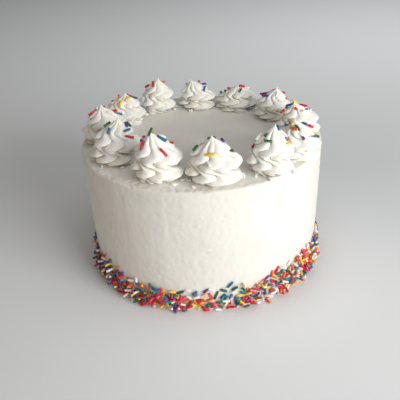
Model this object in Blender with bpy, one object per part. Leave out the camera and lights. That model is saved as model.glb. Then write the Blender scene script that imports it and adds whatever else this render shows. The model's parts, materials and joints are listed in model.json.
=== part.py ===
# Sprinkle cake: a round iced cake that carries a ring of twelve piped dollops, with sprinkles
# stuck round its foot and on the dollops. Metres, +Z up, origin in the middle of the cake's
# base, front towards -Y.

import math
import random
from collections import namedtuple

import bmesh
import bpy
from mathutils import Matrix, Vector
from mathutils.bvhtree import BVHTree

MM = 0.001
GAP = 0.3 * MM
WELD = 0.01 * MM

# Iced cake: an eight inch sponge of two layers under a coat of icing, a little narrower below
TOP_RADIUS = 105.8 * MM
FOOT_RADIUS = 102.8 * MM
CAKE_HEIGHT = 114 * MM
EDGE_RADIUS = 2.5 * MM
EDGE_STEPS = 3
CAKE_SIDES = 72
CREASE_ANGLE = math.radians(40)

# Dollops. Angles in degrees: angle is the place round the cake, start is where the swirl starts,
# and the peak leans towards another. Ring, radius, height and lean in millimetres, where ring is
# the way from the cake's axis to the dollop's middle.
Dollop = namedtuple("Dollop", "angle ring radius height start lean lean_towards")
DOLLOPS = [
    Dollop(angle=-84, ring=83.5, radius=21.6, height=35.5, start=60, lean=1, lean_towards=150),
    Dollop(angle=-114.6, ring=82, radius=20.4, height=38.5, start=95, lean=6, lean_towards=170),
    Dollop(angle=-152, ring=80, radius=21.0, height=36.0, start=20, lean=5, lean_towards=10),
    Dollop(angle=178, ring=84, radius=20.4, height=33.0, start=140, lean=2, lean_towards=190),
    Dollop(angle=148, ring=84, radius=19.2, height=28.5, start=300, lean=3, lean_towards=0),
    Dollop(angle=120, ring=83, radius=17.2, height=32.5, start=170, lean=3, lean_towards=0),
    Dollop(angle=91, ring=77, radius=18.0, height=27.5, start=35, lean=7, lean_towards=180),
    Dollop(angle=62, ring=80, radius=20.6, height=21.5, start=250, lean=1, lean_towards=0),
    Dollop(angle=29, ring=78.5, radius=17.0, height=28.5, start=25, lean=5, lean_towards=10),
    Dollop(angle=-2, ring=86, radius=18.8, height=29.0, start=150, lean=5, lean_towards=190),
    Dollop(angle=-30.5, ring=91, radius=19.2, height=30.0, start=330, lean=3, lean_towards=170),
    Dollop(angle=-54.5, ring=91, radius=17.8, height=38.5, start=85, lean=4, lean_towards=10),
]

# Swirl of a dollop: ridges left by the star tip, swaying and folded into tiers by its circling.
# The tiers grow taller upwards and end below the peak, and folds are deepest on one side of each
# ridge, where its lobes end. Fullness makes up for what ridges and folds take off the radius.
RIDGES = 8
RIDGE_DEPTH = 0.42
GROOVE_POWER = 0.42
RIDGE_SWAY = math.radians(28)
SWAY_LAG = math.radians(155)
SWAY_AT_PEAK = 0.2
DRIFT = math.radians(11)
TIERS = 2.4
TIER_GROWTH = 1.2
TIER_DEPTH = 0.38
TIERS_END = (0.55, 0.85)
EVEN_FOLDS = 0.25
CIRCLING = 0.08
FULLNESS = 1.04
CIRCLING_AT_PEAK = 0.3
DROOP = 1.5 * MM
DROOP_SPAN = (0.0, 0.3, 0.7, 1.0)
FOOT_TUCK = 0.08
FOOT_SPAN = 0.14
TAPER_START = 5
TAPER_POINT = 2.8
TIP_SHARE = 0.015
LEAN_POWER = 3
SWIRL_SIDES = 4 * RIDGES
SWIRL_LEVELS = (0, 0.09, 0.18, 0.27, 0.36, 0.45, 0.55, 0.65, 0.76, 0.88, 1)

# Sprinkles: short sugar rods
SPRINKLE_RADIUS = 1.1 * MM
SPRINKLE_LENGTHS = (5 * MM, 9 * MM)
SPRINKLE_SIDES = 6
SPRINKLE_TIP = 0.4 * MM
SPRINKLE_SEED = 5

# Band of sprinkles round the foot: its top follows two slow waves and finer ragged ones, each
# given by how many go round the cake and how high they are
BAND_SPRINKLES = 66
BAND_FOOT = 1.4 * MM
BAND_HEIGHT = 26.5 * MM
BAND_WAVE = 3.5 * MM
BAND_LOW_ANGLE = math.radians(-105)
BAND_RAGS = ((7, 1.5 * MM), (17, 1.6 * MM))
BAND_JITTER = 0.4
LEVEL_MARGIN = 0.1
BAND_SINK = 0.35
BAND_LEAN = math.radians(30)
LEANING_SHARE = 0.4
BAND_LEVELS = 3

# Sprinkles on each dollop: where they may land, as shares of its radius
DOLLOP_SPRINKLES = 3
LANDING = (0.2, 0.62)
LANDING_JITTER = 0.7
DOLLOP_SINK = 0.25


def clear_scene():
    for item in list(bpy.data.objects):
        bpy.data.objects.remove(item)


def make_material(name, colour, roughness):
    material = bpy.data.materials.new(name)
    material.use_nodes = True
    shader = material.node_tree.nodes["Principled BSDF"]
    shader.inputs["Base Color"].default_value = (*colour, 1)
    shader.inputs["Roughness"].default_value = roughness
    shader.inputs["Metallic"].default_value = 0
    return material


def add_object(name, mesh_maker, material):
    """One named object from a bmesh."""
    mesh = bpy.data.meshes.new(name)
    mesh_maker.to_mesh(mesh)
    mesh_maker.free()
    mesh.materials.append(material)
    item = bpy.data.objects.new(name, mesh)
    bpy.context.scene.collection.objects.link(item)
    return item


def smooth_step(low, high, value):
    share = min(1.0, max(0.0, (value - low) / (high - low)))
    return share * share * (3 - 2 * share)


def cusp(angle, power):
    """1 on a crest and 0 in a groove, which is narrow and sharp."""
    return abs(math.cos(angle)) ** power


def make_cake():
    """The cake's outline from its axis out, up the side and over the edge, turned once round."""
    turned = bmesh.new()
    outline = [Vector((0, 0, 0)), Vector((FOOT_RADIUS, 0, 0))]
    for step in range(EDGE_STEPS + 1):
        angle = math.pi / 2 * step / EDGE_STEPS
        outline.append(Vector((
            TOP_RADIUS - EDGE_RADIUS + EDGE_RADIUS * math.cos(angle),
            0,
            CAKE_HEIGHT - EDGE_RADIUS + EDGE_RADIUS * math.sin(angle),
        )))
    outline.append(Vector((0, 0, CAKE_HEIGHT)))
    points = [turned.verts.new(place) for place in outline]
    edges = [turned.edges.new(pair) for pair in zip(points, points[1:])]
    bmesh.ops.spin(
        turned, geom=points + edges, axis=(0, 0, 1), cent=(0, 0, 0),
        angle=2 * math.pi, steps=CAKE_SIDES, use_merge=True,
    )
    bmesh.ops.remove_doubles(turned, verts=turned.verts, dist=WELD)
    bmesh.ops.recalc_face_normals(turned, faces=turned.faces)
    return turned


def swirl_point(dollop, around, up):
    """A point of the swirl: around is an angle that follows the ridges, up runs from 0 to 1."""
    radius = FULLNESS * dollop.radius * MM
    foot = 1 - FOOT_TUCK * (1 - smooth_step(0, FOOT_SPAN, up))
    taper = foot * (1 - up ** TAPER_START) ** TAPER_POINT + TIP_SHARE
    tiered = 1 - smooth_step(*TIERS_END, up)
    turned = TIERS * (1 - (1 - up) ** TIER_GROWTH)
    turn = math.radians(dollop.start) - 2 * math.pi * turned
    sway = RIDGE_SWAY * (SWAY_AT_PEAK + (1 - SWAY_AT_PEAK) * tiered)
    drift = DRIFT * math.sin(2 * math.pi * up + math.radians(dollop.start))
    angle = around + sway * math.sin(turn - around + SWAY_LAG) + drift
    ridge = 1 - RIDGE_DEPTH * (1 - cusp(RIDGES / 2 * around, GROOVE_POWER))
    lobed = EVEN_FOLDS + (1 - EVEN_FOLDS) * (0.5 - 0.5 * math.sin(RIDGES * around))
    fold = 1 - cusp((turn - around) / 2, GROOVE_POWER)
    tier = 1 - TIER_DEPTH * tiered * lobed * fold
    circle = CIRCLING * radius * taper * (CIRCLING_AT_PEAK + (1 - CIRCLING_AT_PEAK) * tiered)
    reach = (1 - CIRCLING) * radius * taper * ridge * tier
    lean = dollop.lean * MM * up ** LEAN_POWER
    lean_angle = math.radians(dollop.lean_towards)
    across = circle * math.cos(turn) + reach * math.cos(angle) + lean * math.cos(lean_angle)
    along = circle * math.sin(turn) + reach * math.sin(angle) + lean * math.sin(lean_angle)
    low, full, fade, end = DROOP_SPAN
    droop = DROOP * smooth_step(low, full, up) * (1 - smooth_step(fade, end, up))
    rise = dollop.height * MM * up + droop * (0.5 - math.hypot(across, along) / radius)
    return Vector((across, along, rise))


def dollop_centre(dollop):
    angle = math.radians(dollop.angle)
    return Vector((
        dollop.ring * MM * math.cos(angle),
        dollop.ring * MM * math.sin(angle),
        CAKE_HEIGHT + GAP,
    ))


def make_swirl(dollop):
    """A grid wrapped into a tube, shaped level by level and closed at both ends."""
    swirl = bmesh.new()
    centre = dollop_centre(dollop)
    last_level = len(SWIRL_LEVELS) - 1
    bmesh.ops.create_grid(swirl, x_segments=SWIRL_SIDES, y_segments=last_level, size=0.5)
    for point in swirl.verts:
        around = 2 * math.pi * (point.co.x + 0.5)
        level = SWIRL_LEVELS[round((point.co.y + 0.5) * last_level)]
        point.co = centre + swirl_point(dollop, around, level)
    bmesh.ops.remove_doubles(swirl, verts=swirl.verts, dist=WELD)
    open_edges = [edge for edge in swirl.edges if edge.is_boundary]
    bmesh.ops.holes_fill(swirl, edges=open_edges)
    bmesh.ops.triangulate(swirl, faces=swirl.faces)
    bmesh.ops.recalc_face_normals(swirl, faces=swirl.faces)
    return swirl


def make_sprinkle(centre, direction, length):
    """A six-sided rod with slightly domed ends, turned from +Z to its direction."""
    rod = bmesh.new()
    turn = direction.to_track_quat("Z", "Y").to_matrix().to_4x4()
    bmesh.ops.create_cone(
        rod, cap_ends=True, segments=SPRINKLE_SIDES, radius1=SPRINKLE_RADIUS,
        radius2=SPRINKLE_RADIUS, depth=length - 2 * SPRINKLE_TIP,
        matrix=Matrix.Translation(centre) @ turn,
    )
    ends = [face for face in rod.faces if len(face.verts) == SPRINKLE_SIDES]
    bmesh.ops.poke(rod, faces=ends, offset=SPRINKLE_TIP)
    return rod


def side_radius(height):
    """Radius of the cake's side at a height."""
    return FOOT_RADIUS + (TOP_RADIUS - FOOT_RADIUS) * height / (CAKE_HEIGHT - EDGE_RADIUS)


def band_top(angle):
    """Height of the band's ragged top edge at an angle round the cake."""
    slow = -BAND_WAVE * math.cos(2 * (angle - BAND_LOW_ANGLE))
    ragged = sum(depth * math.sin(waves * angle) for waves, depth in BAND_RAGS)
    return BAND_HEIGHT + slow + ragged


def band_sprinkles(draw):
    """Sprinkles on the cake's side, spread evenly round it and thinning out upwards."""
    rods = []
    for number in range(BAND_SPRINKLES):
        level = number % BAND_LEVELS
        angle = 2 * math.pi * (number + draw.uniform(-BAND_JITTER, BAND_JITTER)) / BAND_SPRINKLES
        length = draw.uniform(*SPRINKLE_LENGTHS)
        tilt = draw.uniform(0, math.pi)
        lean = draw.random() < LEANING_SHARE
        share = (level + draw.uniform(LEVEL_MARGIN, 1 - LEVEL_MARGIN)) / BAND_LEVELS
        half_rise = length / 2 * math.sin(tilt) + SPRINKLE_RADIUS
        low = BAND_FOOT + half_rise
        height = low + share * max(0.0, band_top(angle) - half_rise - low)
        out = Vector((math.cos(angle), math.sin(angle), 0))
        side = Vector((-math.sin(angle), math.cos(angle), 0))
        direction = side * math.cos(tilt) + Vector((0, 0, math.sin(tilt)))
        offset = SPRINKLE_RADIUS * (1 - BAND_SINK)
        if lean:
            direction = direction * math.cos(BAND_LEAN) + out * math.sin(BAND_LEAN)
            offset += length / 2 * math.sin(BAND_LEAN) - SPRINKLE_RADIUS
        centre = out * (side_radius(height) + offset) + Vector((0, 0, height))
        rods.append(make_sprinkle(centre, direction, length))
    return rods


def dollop_sprinkles(draw, dollop, swirl_object):
    """Sprinkles dropped from above on a dollop, each lying across the ridge that it lands on."""
    mesh = swirl_object.data
    surface = BVHTree.FromPolygons(
        [point.co for point in mesh.vertices], [face.vertices for face in mesh.polygons])
    centre = dollop_centre(dollop)
    rods = []
    for number in range(DOLLOP_SPRINKLES):
        angle = 2 * math.pi * (number + draw.uniform(0, LANDING_JITTER)) / DOLLOP_SPRINKLES
        reach = dollop.radius * MM * draw.uniform(*LANDING)
        length = draw.uniform(*SPRINKLE_LENGTHS)
        turn = draw.uniform(0, math.pi)
        above = centre + Vector((reach * math.cos(angle), reach * math.sin(angle), 2 * dollop.height * MM))
        place, normal, _, _ = surface.ray_cast(above, Vector((0, 0, -1)))
        first = normal.orthogonal().normalized()
        second = normal.cross(first)
        direction = first * math.cos(turn) + second * math.sin(turn)
        middle = place + normal * SPRINKLE_RADIUS * (1 - DOLLOP_SINK)
        rods.append(make_sprinkle(middle, direction, length))
    return rods


def keep_outer_shell(item):
    """Keeps the largest closed shell: sealed hollows are filled and loose scraps dropped."""
    shells = bmesh.new()
    shells.from_mesh(item.data)
    left = set(shells.verts)
    groups = []
    while left:
        group = set()
        front = [left.pop()]
        while front:
            point = front.pop()
            group.add(point)
            for edge in point.link_edges:
                other = edge.other_vert(point)
                if other in left:
                    left.remove(other)
                    front.append(other)
        groups.append(group)
    groups.sort(key=len)
    for group in groups[:-1]:
        bmesh.ops.delete(shells, geom=list(group), context="VERTS")
    shells.to_mesh(item.data)
    shells.free()


def fuse(item, rods, material):
    """Joins sprinkles to what they lie on by one union, and removes the loose ones."""
    group = bpy.data.collections.new(item.name + "_sprinkles")
    pieces = []
    for rod in rods:
        piece = add_object(item.name + "_rod", rod, material)
        bpy.context.scene.collection.objects.unlink(piece)
        group.objects.link(piece)
        pieces.append(piece)
    union = item.modifiers.new("sprinkles", "BOOLEAN")
    union.operation = "UNION"
    union.operand_type = "COLLECTION"
    union.collection = group
    union.solver = "MANIFOLD"
    graph = bpy.context.evaluated_depsgraph_get()
    joined = bpy.data.meshes.new_from_object(item.evaluated_get(graph))
    item.modifiers.remove(union)
    item.data = joined
    for piece in pieces:
        bpy.data.objects.remove(piece)
    bpy.data.collections.remove(group)
    keep_outer_shell(item)
    item.data.shade_smooth()
    item.data.set_sharp_from_angle(angle=CREASE_ANGLE)


def main():
    clear_scene()
    icing = make_material("icing", (0.86, 0.84, 0.78), 0.5)
    sugar = make_material("sprinkles", (0.7, 0.12, 0.08), 0.35)
    draw = random.Random(SPRINKLE_SEED)
    cake = add_object("iced_cake", make_cake(), icing)
    fuse(cake, band_sprinkles(draw), sugar)
    for number, dollop in enumerate(DOLLOPS, start=1):
        swirl = add_object(f"dollop_{number:02d}", make_swirl(dollop), icing)
        fuse(swirl, dollop_sprinkles(draw, dollop, swirl), sugar)


main()
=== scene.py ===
"""Sprinkle cake: the looks of an iced cake with piped dollops and sugar sprinkles.

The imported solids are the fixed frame. Each group of pieces has its own operator, and the
sidebar panel lists them. Metres, +Z up, the cake's base at the origin, front towards -Y.
"""

import json
import math
import random
from collections import namedtuple

import bmesh
import bpy
from bpy.props import FloatProperty, FloatVectorProperty, IntProperty, PointerProperty
from mathutils import Matrix, Vector, noise
from mathutils.bvhtree import BVHTree

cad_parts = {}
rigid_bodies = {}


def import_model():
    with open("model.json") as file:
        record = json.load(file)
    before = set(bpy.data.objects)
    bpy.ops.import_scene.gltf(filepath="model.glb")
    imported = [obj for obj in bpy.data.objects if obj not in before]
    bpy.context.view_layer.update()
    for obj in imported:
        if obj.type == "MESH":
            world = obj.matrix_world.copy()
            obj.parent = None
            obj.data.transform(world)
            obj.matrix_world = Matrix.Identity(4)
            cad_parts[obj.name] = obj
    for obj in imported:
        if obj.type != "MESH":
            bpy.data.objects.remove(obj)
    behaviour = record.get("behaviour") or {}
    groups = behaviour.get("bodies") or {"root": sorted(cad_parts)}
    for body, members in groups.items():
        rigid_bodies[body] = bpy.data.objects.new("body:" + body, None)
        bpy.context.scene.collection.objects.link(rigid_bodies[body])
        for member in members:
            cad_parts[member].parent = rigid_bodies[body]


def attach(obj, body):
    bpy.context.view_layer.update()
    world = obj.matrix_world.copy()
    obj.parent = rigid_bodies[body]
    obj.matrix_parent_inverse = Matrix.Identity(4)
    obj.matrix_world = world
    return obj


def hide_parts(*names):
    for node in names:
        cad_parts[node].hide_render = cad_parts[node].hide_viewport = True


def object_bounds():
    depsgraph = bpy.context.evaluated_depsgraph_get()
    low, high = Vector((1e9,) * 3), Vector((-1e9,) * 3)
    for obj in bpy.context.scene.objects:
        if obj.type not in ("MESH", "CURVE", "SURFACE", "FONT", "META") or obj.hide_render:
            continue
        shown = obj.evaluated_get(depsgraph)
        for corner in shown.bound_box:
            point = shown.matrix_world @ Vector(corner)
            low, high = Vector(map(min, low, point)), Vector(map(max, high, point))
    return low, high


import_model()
CAD_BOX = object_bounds()

bl_info = {
    "name": "Sprinkle Cake",
    "version": (1, 0, 0),
    "blender": (4, 5, 0),
    "location": "View3D > Sidebar > Cake",
    "description": "Ices a cake, pipes dollops on it and scatters sugar sprinkles",
    "category": "Object",
}

MM = 0.001

# Sizes that the solids share, and how close two points are merged
CAKE_EDGE = 2.5 * MM
GAP = 0.3 * MM
WELD = 0.01 * MM

# Dollops. Angles in degrees: angle is the place round the cake, start is where the swirl starts,
# and the peak leans towards another. Ring, radius, height and lean in millimetres, where ring is
# the way from the cake's axis to the dollop's middle.
Dollop = namedtuple("Dollop", "angle ring radius height start lean lean_towards rods")
DOLLOPS = [
    Dollop(angle=-84, ring=83.5, radius=21.6, height=35.5, start=60, lean=1, lean_towards=150, rods=12),
    Dollop(angle=-114.6, ring=82, radius=20.4, height=38.5, start=95, lean=6, lean_towards=170, rods=11),
    Dollop(angle=-152, ring=80, radius=21.0, height=36.0, start=20, lean=5, lean_towards=10, rods=7),
    Dollop(angle=178, ring=84, radius=20.4, height=33.0, start=140, lean=2, lean_towards=190, rods=11),
    Dollop(angle=148, ring=84, radius=19.2, height=28.5, start=300, lean=3, lean_towards=0, rods=8),
    Dollop(angle=120, ring=83, radius=17.2, height=32.5, start=170, lean=3, lean_towards=0, rods=5),
    Dollop(angle=91, ring=77, radius=18.0, height=27.5, start=35, lean=7, lean_towards=180, rods=5),
    Dollop(angle=62, ring=80, radius=20.6, height=21.5, start=250, lean=1, lean_towards=0, rods=10),
    Dollop(angle=29, ring=78.5, radius=17.0, height=28.5, start=25, lean=5, lean_towards=10, rods=10),
    Dollop(angle=-2, ring=86, radius=18.8, height=29.0, start=150, lean=5, lean_towards=190, rods=12),
    Dollop(angle=-30.5, ring=91, radius=19.2, height=30.0, start=330, lean=3, lean_towards=170, rods=15),
    Dollop(angle=-54.5, ring=91, radius=17.8, height=38.5, start=85, lean=4, lean_towards=10, rods=12),
]

# Swirl of a dollop: ridges left by the star tip, swaying and folded into tiers by its circling.
# The tiers grow taller upwards and end below the peak, and folds are deepest on one side of each
# ridge, where its lobes end. Fullness makes up for what ridges and folds take off the radius.
RIDGES = 8
RIDGE_DEPTH = 0.42
GROOVE_POWER = 0.42
RIDGE_SWAY = math.radians(28)
SWAY_LAG = math.radians(155)
SWAY_AT_PEAK = 0.2
DRIFT = math.radians(11)
TIERS = 2.4
TIER_GROWTH = 1.2
TIER_DEPTH = 0.38
TIERS_END = (0.55, 0.85)
EVEN_FOLDS = 0.25
CIRCLING = 0.08
FULLNESS = 1.04
CIRCLING_AT_PEAK = 0.3
DROOP = 1.5 * MM
DROOP_SPAN = (0.0, 0.3, 0.7, 1.0)
FOOT_TUCK = 0.08
FOOT_SPAN = 0.14
TAPER_START = 5
TAPER_POINT = 2.8
TIP_SHARE = 0.015
LEAN_POWER = 3
SWIRL_SIDES = 18 * RIDGES
SWIRL_LEVELS = 110
SWIRL_ROUGHNESS = 0.2 * MM
SWIRL_GRAIN = 260
SMOOTH_FOOT = 1 * MM

# Scraps of icing at the dollops' feet, most of them between neighbours
SCRAP_SEED = 3
SCRAPS_EACH = 7
SCRAP_RING = (0.86, 1.04)
SCRAP_SPREAD = math.radians(32)
SCRAP_SIZES = ((0.7 * MM, 2.4 * MM), (0.7 * MM, 2.4 * MM), (0.5 * MM, 2.0 * MM))
SCRAP_TEARS = 1.0
SCRAP_GRAIN = 1.6

# Icing coat: columns round it, rows up its side, rings across its top
COAT_SIDES = 480
COAT_ROWS = 130
COAT_RINGS = 46
RING_CROWDING = 1.7
COAT_EDGE_STEPS = 8
COAT_BASE_RINGS = 8

# The coat's unevenness. Streaks: how fine each kind is round the cake and up its side, and how
# far they wander. The rest: waves in each metre, and where they start and end.
STREAK_WANDER = 0.015
WANDER_WAVES = 3
WANDER_RISE = 90
BROAD_STREAKS = 9
BROAD_RISE = 6
FINE_STREAKS = 24
FINE_RISE = 9
FINE_SHIFT = Vector((3, 1, 0))
BROAD_SHARE = 0.45
NOISE_GAIN = 0.6
NOISE_STEP = 2.1
SIDE_WAVES = 16
PEBBLES = 330
PEBBLE_STRETCH = 0.5
SIDE_START = 2 * MM
RIM_SPAN = (14 * MM, 2 * MM)
RIM_RIPPLES = 260
ROUGH_RIM_ANGLE = math.radians(-125)
ROUGH_RIM_SPAN = (0.2, 0.9)
CALM_RIM = 0.35

# Marks on the coat: how many in each metre, and where one starts and ends, as shares of its cell
PITS = 140
PIT_EDGE = (0.05, 0.26)
CRUMBS = 62
CRUMB_EDGE = (0.02, 0.10)
CRUMB_SHIFT = Vector((0.3, 0.1, 0.2))
DOT_PATCH = (0.05, 0.3)
PATCH_WAVES = 22

# Sprinkles: short sugar rods, with the draws that the solids make first
ROD_RADIUS = 1.1 * MM
ROD_LENGTHS = (5 * MM, 9 * MM)
BAND_LENGTHS = (4.2 * MM, 7.2 * MM)
ROD_SIDES = 8
ROD_RINGS = 6
ROD_THICKNESS = (0.94, 1.04)
ROD_SQUARENESS = 0.45
END_SHARE = 0.75
ROD_BEND = 0.5 * MM
BEND_LEVEL = 0.4
ROD_SEED = 5
BAND_SOLID_RODS = 66
BAND_FOOT = 1.4 * MM
BAND_HEIGHT = 26.5 * MM
BAND_WAVE = 3.5 * MM
BAND_LOW_ANGLE = math.radians(-105)
BAND_RAGS = ((7, 1.5 * MM), (17, 1.6 * MM))
BAND_JITTER = 0.4
LEVEL_MARGIN = 0.1
BAND_SINK = 0.35
BAND_LEAN = math.radians(30)
LEANING_SHARE = 0.4
BAND_LEVELS = 3
DOLLOP_SOLID_RODS = 3
LANDING = (0.2, 0.62)
LANDING_JITTER = 0.7
DOLLOP_SINK = 0.25

# Heap of the band: how thick it is, and how its rods lie. They lean less where the solids' box
# is close to the cake.
CELL_COUNT = 90
TRIES_PER_ROD = 18
HEAP_FOOT = 3.4 * MM
HEAP_TOP = 0.9 * MM
HEAP_SPAN = (0.1, 0.9)
HEAP_STEPS = 9
HEAP_LEAN = 0.7
BOX_SIDE_SPAN = (0.975, 0.995)
BOX_SIDE_CALM = 0.75
TILT_CALM = 0.45
PARALLEL = 1e-6
BAND_THINNING = 1.15
BAND_RAGGED = 1.8 * MM

# Free rods on the dollops: most fell on the side away from the front. All are dropped from this
# many times the dollop's height.
DROP_HEIGHT = 2
FREE_LANDING = (0.2, 0.85)
FREE_ANGLE = math.radians(90)
FREE_SPREAD = math.radians(85)
LEVELLING = 0.35
STEEPEST = 0.38

# Sprinkle colours as they look in daylight, and how often each one turns up
RodColour = namedtuple("RodColour", "name colour share")
ROD_COLOURS = [
    RodColour("red", (0.68, 0.008, 0.020), 6.3),
    RodColour("orange", (0.86, 0.160, 0.012), 3.2),
    RodColour("yellow", (0.93, 0.64, 0.030), 3.0),
    RodColour("green", (0.008, 0.135, 0.040), 3.5),
    RodColour("blue", (0.003, 0.165, 0.330), 3.9),
    RodColour("purple", (0.110, 0.040, 0.320), 1.2),
    RodColour("pink", (0.82, 0.020, 0.150), 2.8),
    RodColour("white", (0.97, 0.955, 0.90), 5.4),
]

# Icing's finish: bubble rims and drawn streaks, mottling that mixes in the painted warm shade colour,
# sheen, relief, and light inside it
BUBBLE_RIM = (0.05, 0.22)
STREAK_STRETCH = (1, 1, 0.06)
MOTTLE_SPAN = (0.3, 0.6)
ICING_SHEEN = (0.42, 0.60)
ICING_RELIEF = 0.15 * MM
ICING_GLOSS = 0.45
ICING_DEPTH = 2.5 * MM
ICING_GLOW = 0.25
ICING_GLOW_COLOURS = (1.0, 0.75, 0.5)

# Sugar's finish: dusty patches, how much paler and darker they are, gloss, relief, and light inside
DUST_SCALE = 700
DUST_SPAN = (0.35, 0.72)
DUST_COLOUR = 0.8
DUST_SHARE = 0.05
BARE_SHADE = 0.85
SUGAR_SHEEN = (0.22, 0.45)
SUGAR_BUMP = 0.3
SUGAR_RELIEF = 0.05 * MM
SUGAR_DEPTH = 0.5 * MM
SUGAR_GLOW = 0.1

# Camera fitted to the photo: its lens, distance and angles
PHOTO_SIDE = 400
FOCAL_PIXELS = 600
CAMERA_DISTANCE = 592 * MM
CAMERA_ELEVATION = math.radians(33.31)
CAMERA_YAW = math.radians(0.40)
CAMERA_PITCH = math.radians(4.09)
CAMERA_ROLL = math.radians(2.85)
SENSOR = 36.0


def smooth_step(low, high, value):
    share = min(1.0, max(0.0, (value - low) / (high - low)))
    return share * share * (3 - 2 * share)


def cusp(angle, power):
    """1 on a crest and 0 in a groove, which is narrow and sharp."""
    return abs(math.cos(angle)) ** power


class CakeSizes(bpy.types.PropertyGroup):
    top_radius: FloatProperty(
        name="Top radius", description="From the axis to the icing's side at the top edge",
        default=0.1058, min=0.05, max=0.3, unit="LENGTH")
    foot_radius: FloatProperty(
        name="Foot radius", description="From the axis to the icing's side at the base",
        default=0.1028, min=0.05, max=0.3, unit="LENGTH")
    height: FloatProperty(
        name="Cake height", description="From the base to the flat top",
        default=0.114, min=0.03, max=0.3, unit="LENGTH")
    streak_depth: FloatProperty(
        name="Streak depth", description="How deep the scraper's marks are in the icing's side",
        default=0.00022, min=0, max=0.003, unit="LENGTH")
    wave_depth: FloatProperty(
        name="Wave depth", description="How far the hand-spread icing swells and sinks",
        default=0.0003, min=0, max=0.003, unit="LENGTH")
    pebble_depth: FloatProperty(
        name="Pebble depth", description="Height of the small bumps all over the side",
        default=0.00018, min=0, max=0.003, unit="LENGTH")
    crumb_height: FloatProperty(
        name="Crumb height", description="How far the few small lumps stand out of the side",
        default=0.0009, min=0, max=0.003, unit="LENGTH")
    pit_depth: FloatProperty(
        name="Pit depth", description="How deep the burst air bubbles are in the icing",
        default=0.0005, min=0, max=0.003, unit="LENGTH")
    ripple_depth: FloatProperty(
        name="Ripple depth", description="How rough the top edge is near its roughest place",
        default=0.0016, min=0, max=0.003, unit="LENGTH")


class SprinkleSizes(bpy.types.PropertyGroup):
    band_rods: IntProperty(
        name="Rods round the foot", description="How many sprinkles the band holds",
        default=1000, min=66, max=3000)
    crowding: FloatProperty(
        name="Crowding", description="How close two rods may lie, as a share of their thickness",
        default=0.94, min=0.5, max=1.2)


class IcingFinish(bpy.types.PropertyGroup):
    colour: FloatVectorProperty(
        name="Icing colour", description="Whipped icing on its lit side",
        default=(0.82, 0.803, 0.752), size=3, min=0, max=1, subtype="COLOR")
    # Painted warm shade: this darker, warmer colour is not thicker icing but stands in for shade on the
    # icing, and the mottle mixes it in at random patches.
    painted_shade_colour: FloatVectorProperty(
        name="Hollow colour", description="Icing where it is thicker and warmer",
        default=(0.79, 0.763, 0.700), size=3, min=0, max=1, subtype="COLOR")
    # Painted light: this colour is whiter than the coat's to stand in for the extra light that the dollops
    # catch, not because the icing is airier.
    piped_colour: FloatVectorProperty(
        name="Piped colour", description="The airier icing of the dollops on its lit side",
        default=(0.97, 0.955, 0.91), size=3, min=0, max=1, subtype="COLOR")
    # Painted warm shade: this darker, warmer colour is not thicker icing but stands in for the shade in
    # the dollops' grooves, and the mottle mixes it in at random patches.
    piped_painted_shade_colour: FloatVectorProperty(
        name="Piped hollow colour", description="The dollops' icing where it is thicker",
        default=(0.94, 0.905, 0.825), size=3, min=0, max=1, subtype="COLOR")


def side_radius(sizes, height):
    """Radius of the cake's side at a height."""
    return sizes.foot_radius + (sizes.top_radius - sizes.foot_radius) * height / (sizes.height - CAKE_EDGE)


def inside_box(place):
    """The nearest point inside the solids' box."""
    low, high = CAD_BOX
    return Vector([min(high[axis], max(low[axis], place[axis])) for axis in range(3)])


def keep_piece(name, shaped, material):
    """Turns a finished bmesh into a piece of the cake that moves with its body."""
    mesh = bpy.data.meshes.new(name)
    shaped.to_mesh(mesh)
    shaped.free()
    mesh.materials.append(material)
    mesh.shade_smooth()
    piece = bpy.data.objects.new(name, mesh)
    bpy.context.scene.collection.objects.link(piece)
    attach(piece, "root")
    return piece


# Materials


def node_group(name, outputs, inputs):
    """An empty shader node group with named inputs and outputs."""
    group = bpy.data.node_groups.new(name, "ShaderNodeTree")
    for socket, kind, value in inputs:
        made = group.interface.new_socket(socket, in_out="INPUT", socket_type=kind)
        made.default_value = value
    for socket, kind in outputs:
        group.interface.new_socket(socket, in_out="OUTPUT", socket_type=kind)
    return group, group.nodes.new("NodeGroupInput"), group.nodes.new("NodeGroupOutput")


def link(tree, source, target):
    tree.links.new(source, target)


def map_range(tree, source, kind, span):
    """Maps a value: kind From takes a span to 0 to 1, and kind To takes 0 to 1 to a span."""
    mapped = tree.nodes.new("ShaderNodeMapRange")
    mapped.inputs[kind + " Min"].default_value = span[0]
    mapped.inputs[kind + " Max"].default_value = span[1]
    link(tree, source, mapped.inputs["Value"])
    return mapped.outputs["Result"]


def add_relief(tree, height, strength, distance):
    """Raises the shader's surface by a height from 0 to 1, which is a distance in metres."""
    relief = tree.nodes.new("ShaderNodeBump")
    relief.inputs["Strength"].default_value = strength
    relief.inputs["Distance"].default_value = distance
    link(tree, height, relief.inputs["Height"])
    link(tree, relief.outputs["Normal"], tree.nodes["Principled BSDF"].inputs["Normal"])


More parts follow.
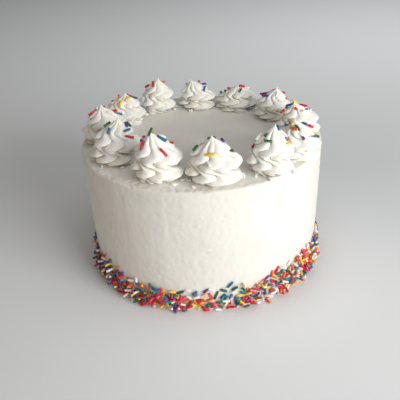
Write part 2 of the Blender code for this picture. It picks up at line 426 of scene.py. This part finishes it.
def whipped_group():
    """Soft mottling, fine grain, small burst bubbles and drawn streaks of whipped icing."""
    group, given, made = node_group(
        "whipped_icing",
        [("Mottle", "NodeSocketFloat"), ("Height", "NodeSocketFloat")],
        [("Mottle Scale", "NodeSocketFloat", 60.0), ("Grain Scale", "NodeSocketFloat", 900.0),
         ("Bubble Scale", "NodeSocketFloat", 350.0), ("Bubble Share", "NodeSocketFloat", 0.3),
         ("Streak Scale", "NodeSocketFloat", 420.0), ("Streak Share", "NodeSocketFloat", 0.0)],
    )
    place = group.nodes.new("ShaderNodeTexCoord")
    mottle = group.nodes.new("ShaderNodeTexNoise")
    mottle.inputs["Detail"].default_value = 4
    link(group, place.outputs["Object"], mottle.inputs["Vector"])
    link(group, given.outputs["Mottle Scale"], mottle.inputs["Scale"])
    link(group, mottle.outputs["Fac"], made.inputs["Mottle"])
    grain = group.nodes.new("ShaderNodeTexNoise")
    grain.inputs["Detail"].default_value = 3
    link(group, place.outputs["Object"], grain.inputs["Vector"])
    link(group, given.outputs["Grain Scale"], grain.inputs["Scale"])
    bubbles = group.nodes.new("ShaderNodeTexVoronoi")
    link(group, place.outputs["Object"], bubbles.inputs["Vector"])
    link(group, given.outputs["Bubble Scale"], bubbles.inputs["Scale"])
    share = group.nodes.new("ShaderNodeMath")
    share.operation = "MULTIPLY"
    link(group, map_range(group, bubbles.outputs["Distance"], "From", BUBBLE_RIM), share.inputs[0])
    link(group, given.outputs["Bubble Share"], share.inputs[1])
    total = group.nodes.new("ShaderNodeMath")
    total.operation = "ADD"
    link(group, grain.outputs["Fac"], total.inputs[0])
    link(group, share.outputs["Value"], total.inputs[1])
    drawn = group.nodes.new("ShaderNodeMapping")
    drawn.inputs["Scale"].default_value = STREAK_STRETCH
    link(group, place.outputs["Object"], drawn.inputs["Vector"])
    streaks = group.nodes.new("ShaderNodeTexNoise")
    streaks.inputs["Detail"].default_value = 2
    link(group, drawn.outputs["Vector"], streaks.inputs["Vector"])
    link(group, given.outputs["Streak Scale"], streaks.inputs["Scale"])
    streaked = group.nodes.new("ShaderNodeMath")
    streaked.operation = "MULTIPLY_ADD"
    link(group, streaks.outputs["Fac"], streaked.inputs[0])
    link(group, given.outputs["Streak Share"], streaked.inputs[1])
    link(group, total.outputs["Value"], streaked.inputs[2])
    link(group, streaked.outputs["Value"], made.inputs["Height"])
    return group


def icing_material(name, group, colours, mottle_scale, bump, streaks):
    """White whipped icing: faintly mottled between its colour and a painted warm shade colour, satin, and
    soft where light goes into it.
    """
    material = bpy.data.materials.new(name)
    material.use_nodes = True
    tree = material.node_tree
    shader = tree.nodes["Principled BSDF"]
    shader.inputs["Subsurface Weight"].default_value = ICING_GLOW
    shader.inputs["Subsurface Radius"].default_value = ICING_GLOW_COLOURS
    shader.inputs["Subsurface Scale"].default_value = ICING_DEPTH
    shader.inputs["Specular IOR Level"].default_value = ICING_GLOSS
    whipped = tree.nodes.new("ShaderNodeGroup")
    whipped.node_tree = group
    whipped.inputs["Mottle Scale"].default_value = mottle_scale
    whipped.inputs["Streak Share"].default_value = streaks
    # The mottle mixes the painted warm shade colour into the icing's colour in random patches.
    blend = tree.nodes.new("ShaderNodeMix")
    blend.data_type = "RGBA"
    blend.inputs["A"].default_value = (*colours[0], 1)
    blend.inputs["B"].default_value = (*colours[1], 1)
    mottle = whipped.outputs["Mottle"]
    link(tree, map_range(tree, mottle, "From", MOTTLE_SPAN), blend.inputs["Factor"])
    link(tree, blend.outputs["Result"], shader.inputs["Base Color"])
    link(tree, map_range(tree, mottle, "To", ICING_SHEEN), shader.inputs["Roughness"])
    add_relief(tree, whipped.outputs["Height"], bump, ICING_RELIEF)
    return material


def rod_material(rod_colour):
    """Waxy sugar rod: even colour with faint dusty patches and a soft gloss."""
    material = bpy.data.materials.new("sugar_" + rod_colour.name)
    material.use_nodes = True
    tree = material.node_tree
    shader = tree.nodes["Principled BSDF"]
    shader.inputs["Subsurface Weight"].default_value = SUGAR_GLOW
    shader.inputs["Subsurface Scale"].default_value = SUGAR_DEPTH
    place = tree.nodes.new("ShaderNodeTexCoord")
    dust = tree.nodes.new("ShaderNodeTexNoise")
    dust.inputs["Scale"].default_value = DUST_SCALE
    dust.inputs["Detail"].default_value = 3
    link(tree, place.outputs["Object"], dust.inputs["Vector"])
    ramp = tree.nodes.new("ShaderNodeValToRGB")
    bare = tuple(shade * BARE_SHADE for shade in rod_colour.colour)
    dusty = tuple(shade + DUST_SHARE * (DUST_COLOUR - shade) for shade in rod_colour.colour)
    for stop, position, colour in zip(ramp.color_ramp.elements, DUST_SPAN, (bare, dusty)):
        stop.position = position
        stop.color = (*colour, 1)
    link(tree, dust.outputs["Fac"], ramp.inputs["Fac"])
    link(tree, ramp.outputs["Color"], shader.inputs["Base Color"])
    link(tree, map_range(tree, dust.outputs["Fac"], "To", SUGAR_SHEEN), shader.inputs["Roughness"])
    add_relief(tree, dust.outputs["Fac"], SUGAR_BUMP, SUGAR_RELIEF)
    return material


# Icing coat


def layered(place, scale, octaves=3):
    """Soft noise from -1 to 1 at a place in metres, scale in waves for each metre."""
    return noise.fractal(place * scale, NOISE_GAIN, NOISE_STEP, octaves)


def streak(angle, height):
    """The scraper's marks: long upright ridges that wander a little with height."""
    up = Vector((0, 0, height))
    ring = Vector((math.cos(angle), math.sin(angle), 0))
    turn = angle + STREAK_WANDER * noise.noise(ring * WANDER_WAVES + up * WANDER_RISE)
    ring = Vector((math.cos(turn), math.sin(turn), 0))
    broad = noise.noise(ring * BROAD_STREAKS + up * BROAD_RISE)
    fine = noise.noise(ring * FINE_STREAKS + up * FINE_RISE + FINE_SHIFT)
    return BROAD_SHARE * broad + (1 - BROAD_SHARE) * fine


def dots(place, count, low, high):
    """Scattered round marks, count of them in each metre: up to 1 in the middle of one."""
    found = noise.voronoi(place * count)[0]
    here = 1 - smooth_step(low, high, found[0])
    patch = smooth_step(*DOT_PATCH, noise.noise(place * PATCH_WAVES))
    return here * patch


def make_coat(sizes):
    """The coat's outline turned once round, then worked over with scraper, bubbles and waves."""
    coat = bmesh.new()
    height = sizes.height
    flat = sizes.top_radius - CAKE_EDGE
    side_top = height - CAKE_EDGE
    outline = [Vector((sizes.foot_radius * step / COAT_BASE_RINGS, 0, 0))
               for step in range(COAT_BASE_RINGS + 1)]
    for row in range(1, COAT_ROWS + 1):
        level = side_top * row / COAT_ROWS
        outline.append(Vector((side_radius(sizes, level), 0, level)))
    for step in range(1, COAT_EDGE_STEPS + 1):
        angle = math.pi / 2 * step / COAT_EDGE_STEPS
        outline.append(Vector((
            flat + CAKE_EDGE * math.cos(angle), 0, side_top + CAKE_EDGE * math.sin(angle))))
    outline += [Vector((flat * (1 - (ring / COAT_RINGS) ** RING_CROWDING), 0, height))
                for ring in range(1, COAT_RINGS + 1)]
    points = [coat.verts.new(place) for place in outline]
    edges = [coat.edges.new(pair) for pair in zip(points, points[1:])]
    bmesh.ops.spin(
        coat, geom=points + edges, axis=(0, 0, 1), cent=(0, 0, 0),
        angle=2 * math.pi, steps=COAT_SIDES, use_merge=True)
    bmesh.ops.remove_doubles(coat, verts=coat.verts, dist=WELD)
    bmesh.ops.recalc_face_normals(coat, faces=coat.faces)
    for point in coat.verts:
        point.co = worked_place(point.co, sizes)
    return coat


def worked_place(place, sizes):
    """Where a point of the smooth outline ends up on the hand-spread icing."""
    around = math.atan2(place.y, place.x)
    out = math.hypot(place.x, place.y)
    outwards = Vector((math.cos(around), math.sin(around), 0))
    inside = side_radius(sizes, place.z) - CAKE_EDGE
    on_side = smooth_step(inside, inside + CAKE_EDGE, out) * smooth_step(0, SIDE_START, place.z)
    on_top = smooth_step(sizes.height - CAKE_EDGE, sizes.height, place.z)
    near_edge = on_top * smooth_step(*(sizes.top_radius - share for share in RIM_SPAN), out)
    stretched = Vector((place.x, place.y, place.z * PEBBLE_STRETCH))
    pit = dots(place, PITS, *PIT_EDGE)
    push = sizes.streak_depth * streak(around, place.z)
    push += sizes.wave_depth * layered(place, SIDE_WAVES)
    push += sizes.pebble_depth * layered(stretched, PEBBLES, octaves=4)
    push += sizes.crumb_height * dots(place + CRUMB_SHIFT, CRUMBS, *CRUMB_EDGE)
    push -= sizes.pit_depth * pit
    lift = sizes.wave_depth * layered(place, SIDE_WAVES) - sizes.pit_depth * pit / 2
    ripple = sizes.ripple_depth * rim_patch(around) * abs(layered(place, RIM_RIPPLES))
    raised = Vector((0, 0, on_top * lift - near_edge * ripple))
    return inside_box(place + outwards * (on_side * push) + raised)


def rim_patch(around):
    """Where the top edge was left rough: most at the front left, a little elsewhere."""
    turned_away = smooth_step(*ROUGH_RIM_SPAN, math.cos(around - ROUGH_RIM_ANGLE))
    return CALM_RIM + (1 - CALM_RIM) * turned_away


class CAKE_OT_icing_coat(bpy.types.Operator):
    """Spreads the icing coat over the cake"""

    bl_idname = "cake.icing_coat"
    bl_label = "Icing Coat"

    def execute(self, context):
        material = bpy.data.materials["coat_icing"]
        piece = keep_piece("icing_coat", make_coat(context.scene.cake_sizes), material)
        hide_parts("iced_cake")
        return {"FINISHED"}


# Piped dollops


def swirl_point(dollop, around, up):
    """A point of the swirl: around is an angle that follows the ridges, up runs from 0 to 1."""
    radius = FULLNESS * dollop.radius * MM
    foot = 1 - FOOT_TUCK * (1 - smooth_step(0, FOOT_SPAN, up))
    taper = foot * (1 - up ** TAPER_START) ** TAPER_POINT + TIP_SHARE
    tiered = 1 - smooth_step(*TIERS_END, up)
    turned = TIERS * (1 - (1 - up) ** TIER_GROWTH)
    turn = math.radians(dollop.start) - 2 * math.pi * turned
    sway = RIDGE_SWAY * (SWAY_AT_PEAK + (1 - SWAY_AT_PEAK) * tiered)
    drift = DRIFT * math.sin(2 * math.pi * up + math.radians(dollop.start))
    angle = around + sway * math.sin(turn - around + SWAY_LAG) + drift
    ridge = 1 - RIDGE_DEPTH * (1 - cusp(RIDGES / 2 * around, GROOVE_POWER))
    lobed = EVEN_FOLDS + (1 - EVEN_FOLDS) * (0.5 - 0.5 * math.sin(RIDGES * around))
    fold = 1 - cusp((turn - around) / 2, GROOVE_POWER)
    tier = 1 - TIER_DEPTH * tiered * lobed * fold
    circle = CIRCLING * radius * taper * (CIRCLING_AT_PEAK + (1 - CIRCLING_AT_PEAK) * tiered)
    reach = (1 - CIRCLING) * radius * taper * ridge * tier
    lean = dollop.lean * MM * up ** LEAN_POWER
    lean_angle = math.radians(dollop.lean_towards)
    across = circle * math.cos(turn) + reach * math.cos(angle) + lean * math.cos(lean_angle)
    along = circle * math.sin(turn) + reach * math.sin(angle) + lean * math.sin(lean_angle)
    low, full, fade, end = DROOP_SPAN
    droop = DROOP * smooth_step(low, full, up) * (1 - smooth_step(fade, end, up))
    rise = dollop.height * MM * up + droop * (0.5 - math.hypot(across, along) / radius)
    return Vector((across, along, rise))


def dollop_centre(dollop, height):
    angle = math.radians(dollop.angle)
    return Vector((
        dollop.ring * MM * math.cos(angle),
        dollop.ring * MM * math.sin(angle),
        height + GAP,
    ))


def make_swirl(dollop, height):
    """A grid wrapped into a tube, shaped level by level and closed at both ends."""
    swirl = bmesh.new()
    centre = dollop_centre(dollop, height)
    bmesh.ops.create_grid(swirl, x_segments=SWIRL_SIDES, y_segments=SWIRL_LEVELS, size=0.5)
    for point in swirl.verts:
        around = 2 * math.pi * (point.co.x + 0.5)
        up = point.co.y + 0.5
        point.co = centre + swirl_point(dollop, around, up)
    bmesh.ops.remove_doubles(swirl, verts=swirl.verts, dist=WELD)
    open_edges = [edge for edge in swirl.edges if edge.is_boundary]
    bmesh.ops.holes_fill(swirl, edges=open_edges)
    bmesh.ops.recalc_face_normals(swirl, faces=swirl.faces)
    swirl.normal_update()
    for point in swirl.verts:
        rough = SWIRL_ROUGHNESS * layered(point.co, SWIRL_GRAIN)
        above_foot = smooth_step(0, SMOOTH_FOOT, point.co.z - centre.z)
        point.co = inside_box(point.co + point.normal * rough * above_foot)
    return swirl


def make_scraps(height):
    """Torn lumps of icing that the nozzle left round the dollops' feet."""
    scraps = bmesh.new()
    draw = random.Random(SCRAP_SEED)
    for dollop in DOLLOPS:
        centre = dollop_centre(dollop, height)
        for number in range(SCRAPS_EACH):
            side = math.pi / 2 if number % 2 else -math.pi / 2
            angle = math.radians(dollop.angle) + side + draw.gauss(0, SCRAP_SPREAD)
            reach = dollop.radius * MM * draw.uniform(*SCRAP_RING)
            place = centre + Vector((reach * math.cos(angle), reach * math.sin(angle), 0))
            sizes = Vector([draw.uniform(*span) for span in SCRAP_SIZES])
            lump = bmesh.ops.create_icosphere(scraps, subdivisions=3, radius=1)["verts"]
            for point in lump:
                torn = 1 + SCRAP_TEARS * noise.noise(point.co * SCRAP_GRAIN + place / MM)
                point.co = place + point.co * sizes * torn
    return scraps


class CAKE_OT_scraps(bpy.types.Operator):
    """Drops a few lumps of icing between the dollops"""

    bl_idname = "cake.scraps"
    bl_label = "Icing Scraps"

    def execute(self, context):
        material = bpy.data.materials["piped_icing"]
        piece = keep_piece("icing_scraps", make_scraps(context.scene.cake_sizes.height), material)
        return {"FINISHED"}


class CAKE_OT_dollops(bpy.types.Operator):
    """Pipes the ring of dollops round the top"""

    bl_idname = "cake.dollops"
    bl_label = "Piped Dollops"

    def execute(self, context):
        material = bpy.data.materials["piped_icing"]
        height = context.scene.cake_sizes.height
        for number, dollop in enumerate(DOLLOPS, start=1):
            piece = keep_piece(f"piped_dollop_{number:02d}", make_swirl(dollop, height), material)
            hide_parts(f"dollop_{number:02d}")
        return {"FINISHED"}


# Sprinkles


def band_top(angle):
    """Height of the band's ragged top edge at an angle round the cake."""
    slow = -BAND_WAVE * math.cos(2 * (angle - BAND_LOW_ANGLE))
    ragged = sum(depth * math.sin(waves * angle) for waves, depth in BAND_RAGS)
    return BAND_HEIGHT + slow + ragged


def solid_band_rods(draw, sizes):
    """The rods that the cake's solid carries, drawn in the same order."""
    rods = []
    for number in range(BAND_SOLID_RODS):
        level = number % BAND_LEVELS
        angle = 2 * math.pi * (number + draw.uniform(-BAND_JITTER, BAND_JITTER)) / BAND_SOLID_RODS
        length = draw.uniform(*ROD_LENGTHS)
        tilt = draw.uniform(0, math.pi)
        lean = draw.random() < LEANING_SHARE
        share = (level + draw.uniform(LEVEL_MARGIN, 1 - LEVEL_MARGIN)) / BAND_LEVELS
        half_rise = length / 2 * math.sin(tilt) + ROD_RADIUS
        low = BAND_FOOT + half_rise
        height = low + share * max(0.0, band_top(angle) - half_rise - low)
        out = Vector((math.cos(angle), math.sin(angle), 0))
        side = Vector((-math.sin(angle), math.cos(angle), 0))
        direction = side * math.cos(tilt) + Vector((0, 0, math.sin(tilt)))
        offset = ROD_RADIUS * (1 - BAND_SINK)
        if lean:
            direction = direction * math.cos(BAND_LEAN) + out * math.sin(BAND_LEAN)
            offset += length / 2 * math.sin(BAND_LEAN) - ROD_RADIUS
        centre = out * (side_radius(sizes, height) + offset) + Vector((0, 0, height))
        rods.append((centre, direction, length))
    return rods


def segment_gap(first, second):
    """Shortest way between the middle lines of two rods."""
    p, u, a = first
    q, v, b = second
    half_a = a / 2 - ROD_RADIUS
    half_b = b / 2 - ROD_RADIUS
    between = p - q
    along = u.dot(v)
    start_u = u.dot(between)
    start_v = v.dot(between)
    spread = 1 - along * along
    s = 0.0 if spread < PARALLEL else (along * start_v - start_u) / spread
    s = min(half_a, max(-half_a, s))
    t = min(half_b, max(-half_b, start_v + along * s))
    s = min(half_a, max(-half_a, along * t - start_u))
    return (between + u * s - v * t).length


class RodCells:
    """Rods sorted by their place round the cake, so that neighbours are found fast."""

    def __init__(self, rods):
        self.cells = [[] for _ in range(CELL_COUNT)]
        for rod in rods:
            self.add(rod)

    def cell(self, centre):
        share = math.atan2(centre.y, centre.x) / (2 * math.pi) + 0.5
        return int(share * CELL_COUNT) % CELL_COUNT

    def add(self, rod):
        self.cells[self.cell(rod[0])].append(rod)

    def near(self, centre):
        middle = self.cell(centre)
        return [rod for shift in (-1, 0, 1) for rod in self.cells[(middle + shift) % CELL_COUNT]]


def fits_box(rod):
    """Whether a rod stays inside the solids' box, above the surface that the cake stands on."""
    centre, direction, length = rod
    low, high = CAD_BOX
    for axis in range(3):
        reach = abs(direction[axis]) * length / 2 + ROD_RADIUS
        if centre[axis] + reach > high[axis] or centre[axis] - reach < low[axis]:
            return False
    return True


def band_thickness(share):
    """How far a rod's middle may stand off the icing: the heap is thickest at its foot."""
    return HEAP_FOOT + (HEAP_TOP - HEAP_FOOT) * smooth_step(*HEAP_SPAN, share)


def heap_band(draw, rods, sizes, sprinkles):
    """Fills the band up: each rod is laid on the icing or, where it is crowded, on other rods."""
    cells = RodCells(rods)
    wanted = 2 * ROD_RADIUS * sprinkles.crowding
    tries = 0
    while len(rods) < sprinkles.band_rods and tries < TRIES_PER_ROD * sprinkles.band_rods:
        tries += 1
        angle = draw.uniform(-math.pi, math.pi)
        length = draw.uniform(*BAND_LENGTHS)
        tilt = draw.uniform(-math.pi / 2, math.pi / 2) * draw.uniform(TILT_CALM, 1)
        share = draw.random() ** BAND_THINNING
        half_rise = length / 2 * abs(math.sin(tilt)) + ROD_RADIUS
        top = band_top(angle) + draw.gauss(0, BAND_RAGGED)
        height = half_rise + share * max(0.0, top - 2 * half_rise)
        beside_box = smooth_step(*BOX_SIDE_SPAN, max(abs(math.cos(angle)), abs(math.sin(angle))))
        lean = draw.gauss(0, HEAP_LEAN) * (1 - BOX_SIDE_CALM * beside_box)
        out = Vector((math.cos(angle), math.sin(angle), 0))
        side = Vector((-math.sin(angle), math.cos(angle), 0))
        flat = side * math.cos(tilt) + Vector((0, 0, math.sin(tilt)))
        direction = (flat * math.cos(lean) + out * math.sin(lean)).normalized()
        near = cells.near(out)
        start = ROD_RADIUS * (1 - BAND_SINK) + length / 2 * abs(math.sin(lean))
        for layer in range(HEAP_STEPS):
            offset = start + layer / HEAP_STEPS * band_thickness(share)
            centre = out * (side_radius(sizes, height) + offset) + Vector((0, 0, height))
            rod = (centre, direction, length)
            if not fits_box(rod):
                break
            if all(segment_gap(rod, other) > wanted for other in near):
                rods.append(rod)
                cells.add(rod)
                break


def dropped_rod(surface, above, turn, length, levelling):
    """A rod that lies where it met the surface, turned a little level, or None off the dollop."""
    place, normal, _, _ = surface.ray_cast(above, Vector((0, 0, -1)))
    if place is None:
        return None
    first = normal.orthogonal().normalized()
    second = normal.cross(first)
    direction = first * math.cos(turn) + second * math.sin(turn)
    direction.z *= 1 - levelling
    middle = place + normal * ROD_RADIUS * (1 - DOLLOP_SINK)
    return (middle, direction.normalized(), length), normal


def rod_above(draw, dollop, height, angle, landing):
    """A rod still in the air over a dollop: its place, turn and length."""
    reach = dollop.radius * MM * draw.uniform(*landing)
    length = draw.uniform(*ROD_LENGTHS)
    turn = draw.uniform(0, math.pi)
    offset = Vector((
        reach * math.cos(angle), reach * math.sin(angle), DROP_HEIGHT * dollop.height * MM))
    return dollop_centre(dollop, height) + offset, turn, length


def dollop_rods(solid_draw, free_draw, dollop, height, swirl):
    """Rods dropped from above on a dollop, the ones that its solid carries first."""
    mesh = swirl.data
    surface = BVHTree.FromPolygons(
        [point.co for point in mesh.vertices], [face.vertices for face in mesh.polygons])
    rods = []
    for number in range(DOLLOP_SOLID_RODS):
        angle = 2 * math.pi * (number + solid_draw.uniform(0, LANDING_JITTER)) / DOLLOP_SOLID_RODS
        start = rod_above(solid_draw, dollop, height, angle, LANDING)
        rods.append(dropped_rod(surface, *start, levelling=0)[0])
    while len(rods) < dollop.rods:
        angle = free_draw.gauss(FREE_ANGLE, FREE_SPREAD)
        start = rod_above(free_draw, dollop, height, angle, FREE_LANDING)
        landed = dropped_rod(surface, *start, levelling=LEVELLING)
        if landed and landed[1].z > STEEPEST and fits_box(landed[0]):
            if all(segment_gap(landed[0], other) > 2 * ROD_RADIUS for other in rods):
                rods.append(landed[0])
    return rods


def straight_rod():
    """A ball of unit radius and half length, whose ends add_rod pulls apart and flattens into a rod."""
    rod = bmesh.new()
    bmesh.ops.create_uvsphere(rod, u_segments=ROD_SIDES, v_segments=ROD_RINGS, radius=1)
    mesh = bpy.data.meshes.new("straight_rod")
    rod.to_mesh(mesh)
    rod.free()
    return mesh


def add_rod(heap, template, rod, draw):
    """One rod with round ends, some of them a little bent, from a stretched ball."""
    centre, direction, length = rod
    bend = ROD_BEND * draw.random() ** 2
    thickness = ROD_RADIUS * draw.uniform(*ROD_THICKNESS)
    turn = direction.to_track_quat("Z", "Y").to_matrix().to_4x4()
    turn = Matrix.Translation(centre) @ turn @ Matrix.Rotation(draw.uniform(0, 2 * math.pi), 4, "Z")
    before = len(heap.verts)
    heap.from_mesh(template)
    heap.verts.ensure_lookup_table()
    straight = length / 2 - thickness * END_SHARE
    for point in heap.verts[before:]:
        along = point.co.z
        across = math.hypot(point.co.x, point.co.y)
        wide = thickness * across ** ROD_SQUARENESS / across if across > MM else 0
        rise = math.copysign(straight, along) + thickness * END_SHARE * along if abs(along) > MM else 0
        sag = bend * ((2 * rise / length) ** 2 - BEND_LEVEL)
        point.co = inside_box(turn @ Vector((point.co.x * wide + sag, point.co.y * wide, rise)))


def colour_picker(draw):
    """A function that draws colours as often as their shares say."""
    shares = [rod_colour.share for rod_colour in ROD_COLOURS]
    return lambda: draw.choices(range(len(ROD_COLOURS)), weights=shares)[0]


class CAKE_OT_sprinkles(bpy.types.Operator):
    """Scatters sprinkles round the foot and on the dollops, one piece for each colour"""

    bl_idname = "cake.sprinkles"
    bl_label = "Sprinkles"

    def execute(self, context):
        sizes = context.scene.cake_sizes
        draw = random.Random(ROD_SEED)
        rods = solid_band_rods(draw, sizes)
        # The solids draw the dollops' rods straight after the band's, so their draw splits off here
        solid_draw = random.Random()
        solid_draw.setstate(draw.getstate())
        heap_band(draw, rods, sizes, context.scene.sprinkle_sizes)
        for number, dollop in enumerate(DOLLOPS, start=1):
            swirl = bpy.data.objects[f"piped_dollop_{number:02d}"]
            rods += dollop_rods(solid_draw, draw, dollop, sizes.height, swirl)
        pick = colour_picker(draw)
        heaps = [bmesh.new() for _ in ROD_COLOURS]
        template = straight_rod()
        for rod in rods:
            add_rod(heaps[pick()], template, rod, draw)
        bpy.data.meshes.remove(template)
        for rod_colour, heap in zip(ROD_COLOURS, heaps):
            bmesh.ops.recalc_face_normals(heap, faces=heap.faces)
            piece = keep_piece("sprinkles_" + rod_colour.name, heap, rod_material(rod_colour))
        return {"FINISHED"}


class CAKE_OT_finishes(bpy.types.Operator):
    """Mixes the icing that the coat and the dollops share"""

    bl_idname = "cake.finishes"
    bl_label = "Icing Finishes"

    def execute(self, context):
        finish = context.scene.icing_finish
        group = whipped_group()
        # Each pair holds the painted warm shade colour first, then the icing's colour.
        coat = (finish.painted_shade_colour, finish.colour)
        piped = (finish.piped_painted_shade_colour, finish.piped_colour)
        icing_material("coat_icing", group, coat, mottle_scale=45, bump=0.55, streaks=1.0)
        # The dollops' whiter colours are painted light.
        icing_material("piped_icing", group, piped, mottle_scale=90, bump=0.25, streaks=0)
        return {"FINISHED"}


# Stage


StageLight = namedtuple("StageLight", "name power width height place aim colour")
STAGE_LIGHTS = [
    StageLight("window", 13.5, 0.8, 0.6, (0.77, -0.86, 0.42), (0, 0, 0.07), (1.0, 0.99, 0.965)),
    StageLight("ceiling", 8, 1.8, 1.8, (0.3, -0.2, 1.65), (0.1, 0, 0), (0.97, 0.985, 1.0)),
    StageLight("warm_bounce", 1.7, 1.2, 0.9, (-1.38, -0.5, 0.38), (0, 0, 0.07), (1.0, 0.66, 0.36)),
    StageLight("far_floor", 7, 0.8, 0.8, (0.5, 0.5, 1.0), (0.5, 1.5, 0.65), (0.98, 1.0, 1.0)),
]
FLOOR_COLOUR = (0.84, 0.86, 0.88)
FLOOR_ROUGHNESS = 0.8
FLOOR_SIZE = 3
ROOM_COLOUR = (1.0, 0.965, 0.90)
ROOM_STRENGTH = 0.125


def add_area_light(light):
    """A soft panel that stands at its place, in metres, and faces its aim."""
    lamp_data = bpy.data.lights.new(light.name, "AREA")
    lamp_data.energy = light.power
    lamp_data.shape = "RECTANGLE"
    lamp_data.size = light.width
    lamp_data.size_y = light.height
    lamp_data.color = light.colour
    lamp = bpy.data.objects.new(light.name, lamp_data)
    lamp.location = light.place
    lamp.rotation_euler = (Vector(light.place) - Vector(light.aim)).to_track_quat("Z", "Y").to_euler()
    bpy.context.scene.collection.objects.link(lamp)


def turned(angle, axis):
    """The fitted camera's small turns, about the axes of its own view."""
    first, second = [(1, 2), (2, 0), (0, 1)][axis]
    turn = Matrix.Identity(3)
    turn[first][first] = turn[second][second] = math.cos(angle)
    turn[first][second] = -math.sin(angle)
    turn[second][first] = math.sin(angle)
    return turn


def add_camera():
    """The photo's view: aimed at the foot's middle, then turned by the fitted small angles."""
    place = CAMERA_DISTANCE * Vector((0, -math.cos(CAMERA_ELEVATION), math.sin(CAMERA_ELEVATION)))
    forward = -place.normalized()
    right = forward.cross(Vector((0, 0, 1))).normalized()
    up = right.cross(forward)
    aimed = Matrix((right, up, forward))
    view = turned(CAMERA_ROLL, 2) @ turned(CAMERA_PITCH, 0) @ turned(CAMERA_YAW, 1) @ aimed
    columns = Matrix((view[0], view[1], -view[2])).transposed()
    lens = bpy.data.cameras.new("photo_view")
    lens.sensor_width = SENSOR
    lens.lens = FOCAL_PIXELS / PHOTO_SIDE * SENSOR
    camera = bpy.data.objects.new("photo_view", lens)
    camera.matrix_world = Matrix.Translation(place) @ columns.to_4x4()
    bpy.context.scene.collection.objects.link(camera)
    bpy.context.scene.camera = camera


class CAKE_OT_stage(bpy.types.Operator):
    """Lays a pale floor, hangs the lights and sets the camera"""

    bl_idname = "cake.stage"
    bl_label = "Stage"

    def execute(self, context):
        ground = bmesh.new()
        bmesh.ops.create_grid(ground, x_segments=1, y_segments=1, size=FLOOR_SIZE)
        mesh = bpy.data.meshes.new("floor")
        ground.to_mesh(mesh)
        ground.free()
        floor = bpy.data.objects.new("floor", mesh)
        context.scene.collection.objects.link(floor)
        material = bpy.data.materials.new("pale_floor")
        material.use_nodes = True
        shader = material.node_tree.nodes["Principled BSDF"]
        shader.inputs["Base Color"].default_value = (*FLOOR_COLOUR, 1)
        shader.inputs["Roughness"].default_value = FLOOR_ROUGHNESS
        mesh.materials.append(material)
        for light in STAGE_LIGHTS:
            add_area_light(light)
        world = bpy.data.worlds.new("room")
        world.use_nodes = True
        room = world.node_tree.nodes["Background"]
        room.inputs["Color"].default_value = (*ROOM_COLOUR, 1)
        room.inputs["Strength"].default_value = ROOM_STRENGTH
        context.scene.world = world
        context.scene.view_settings.view_transform = "Standard"
        add_camera()
        return {"FINISHED"}


class CAKE_PT_panel(bpy.types.Panel):
    """The cake's sizes and steps"""

    bl_idname = "CAKE_PT_panel"
    bl_label = "Sprinkle Cake"
    bl_space_type = "VIEW_3D"
    bl_region_type = "UI"
    bl_category = "Cake"

    def draw(self, context):
        scene = context.scene
        for group in (scene.cake_sizes, scene.sprinkle_sizes, scene.icing_finish):
            box = self.layout.box()
            for name in group.bl_rna.properties.keys():
                if name not in ("rna_type", "name"):
                    box.prop(group, name)
        for step in STEPS:
            self.layout.operator(step.bl_idname)


GROUPS = {
    "cake_sizes": CakeSizes,
    "sprinkle_sizes": SprinkleSizes,
    "icing_finish": IcingFinish,
}
STEPS = (
    CAKE_OT_finishes,
    CAKE_OT_icing_coat,
    CAKE_OT_dollops,
    CAKE_OT_scraps,
    CAKE_OT_sprinkles,
    CAKE_OT_stage,
)
CLASSES = (*GROUPS.values(), *STEPS, CAKE_PT_panel)


def register():
    for made in CLASSES:
        bpy.utils.register_class(made)
    for name, group in GROUPS.items():
        setattr(bpy.types.Scene, name, PointerProperty(type=group))


def unregister():
    for name in GROUPS:
        delattr(bpy.types.Scene, name)
    for made in reversed(CLASSES):
        bpy.utils.unregister_class(made)


def main():
    register()
    bpy.ops.cake.finishes()
    bpy.ops.cake.icing_coat()
    bpy.ops.cake.dollops()
    bpy.ops.cake.scraps()
    bpy.ops.cake.sprinkles()
    bpy.ops.cake.stage()


if __name__ == "__main__":
    main()
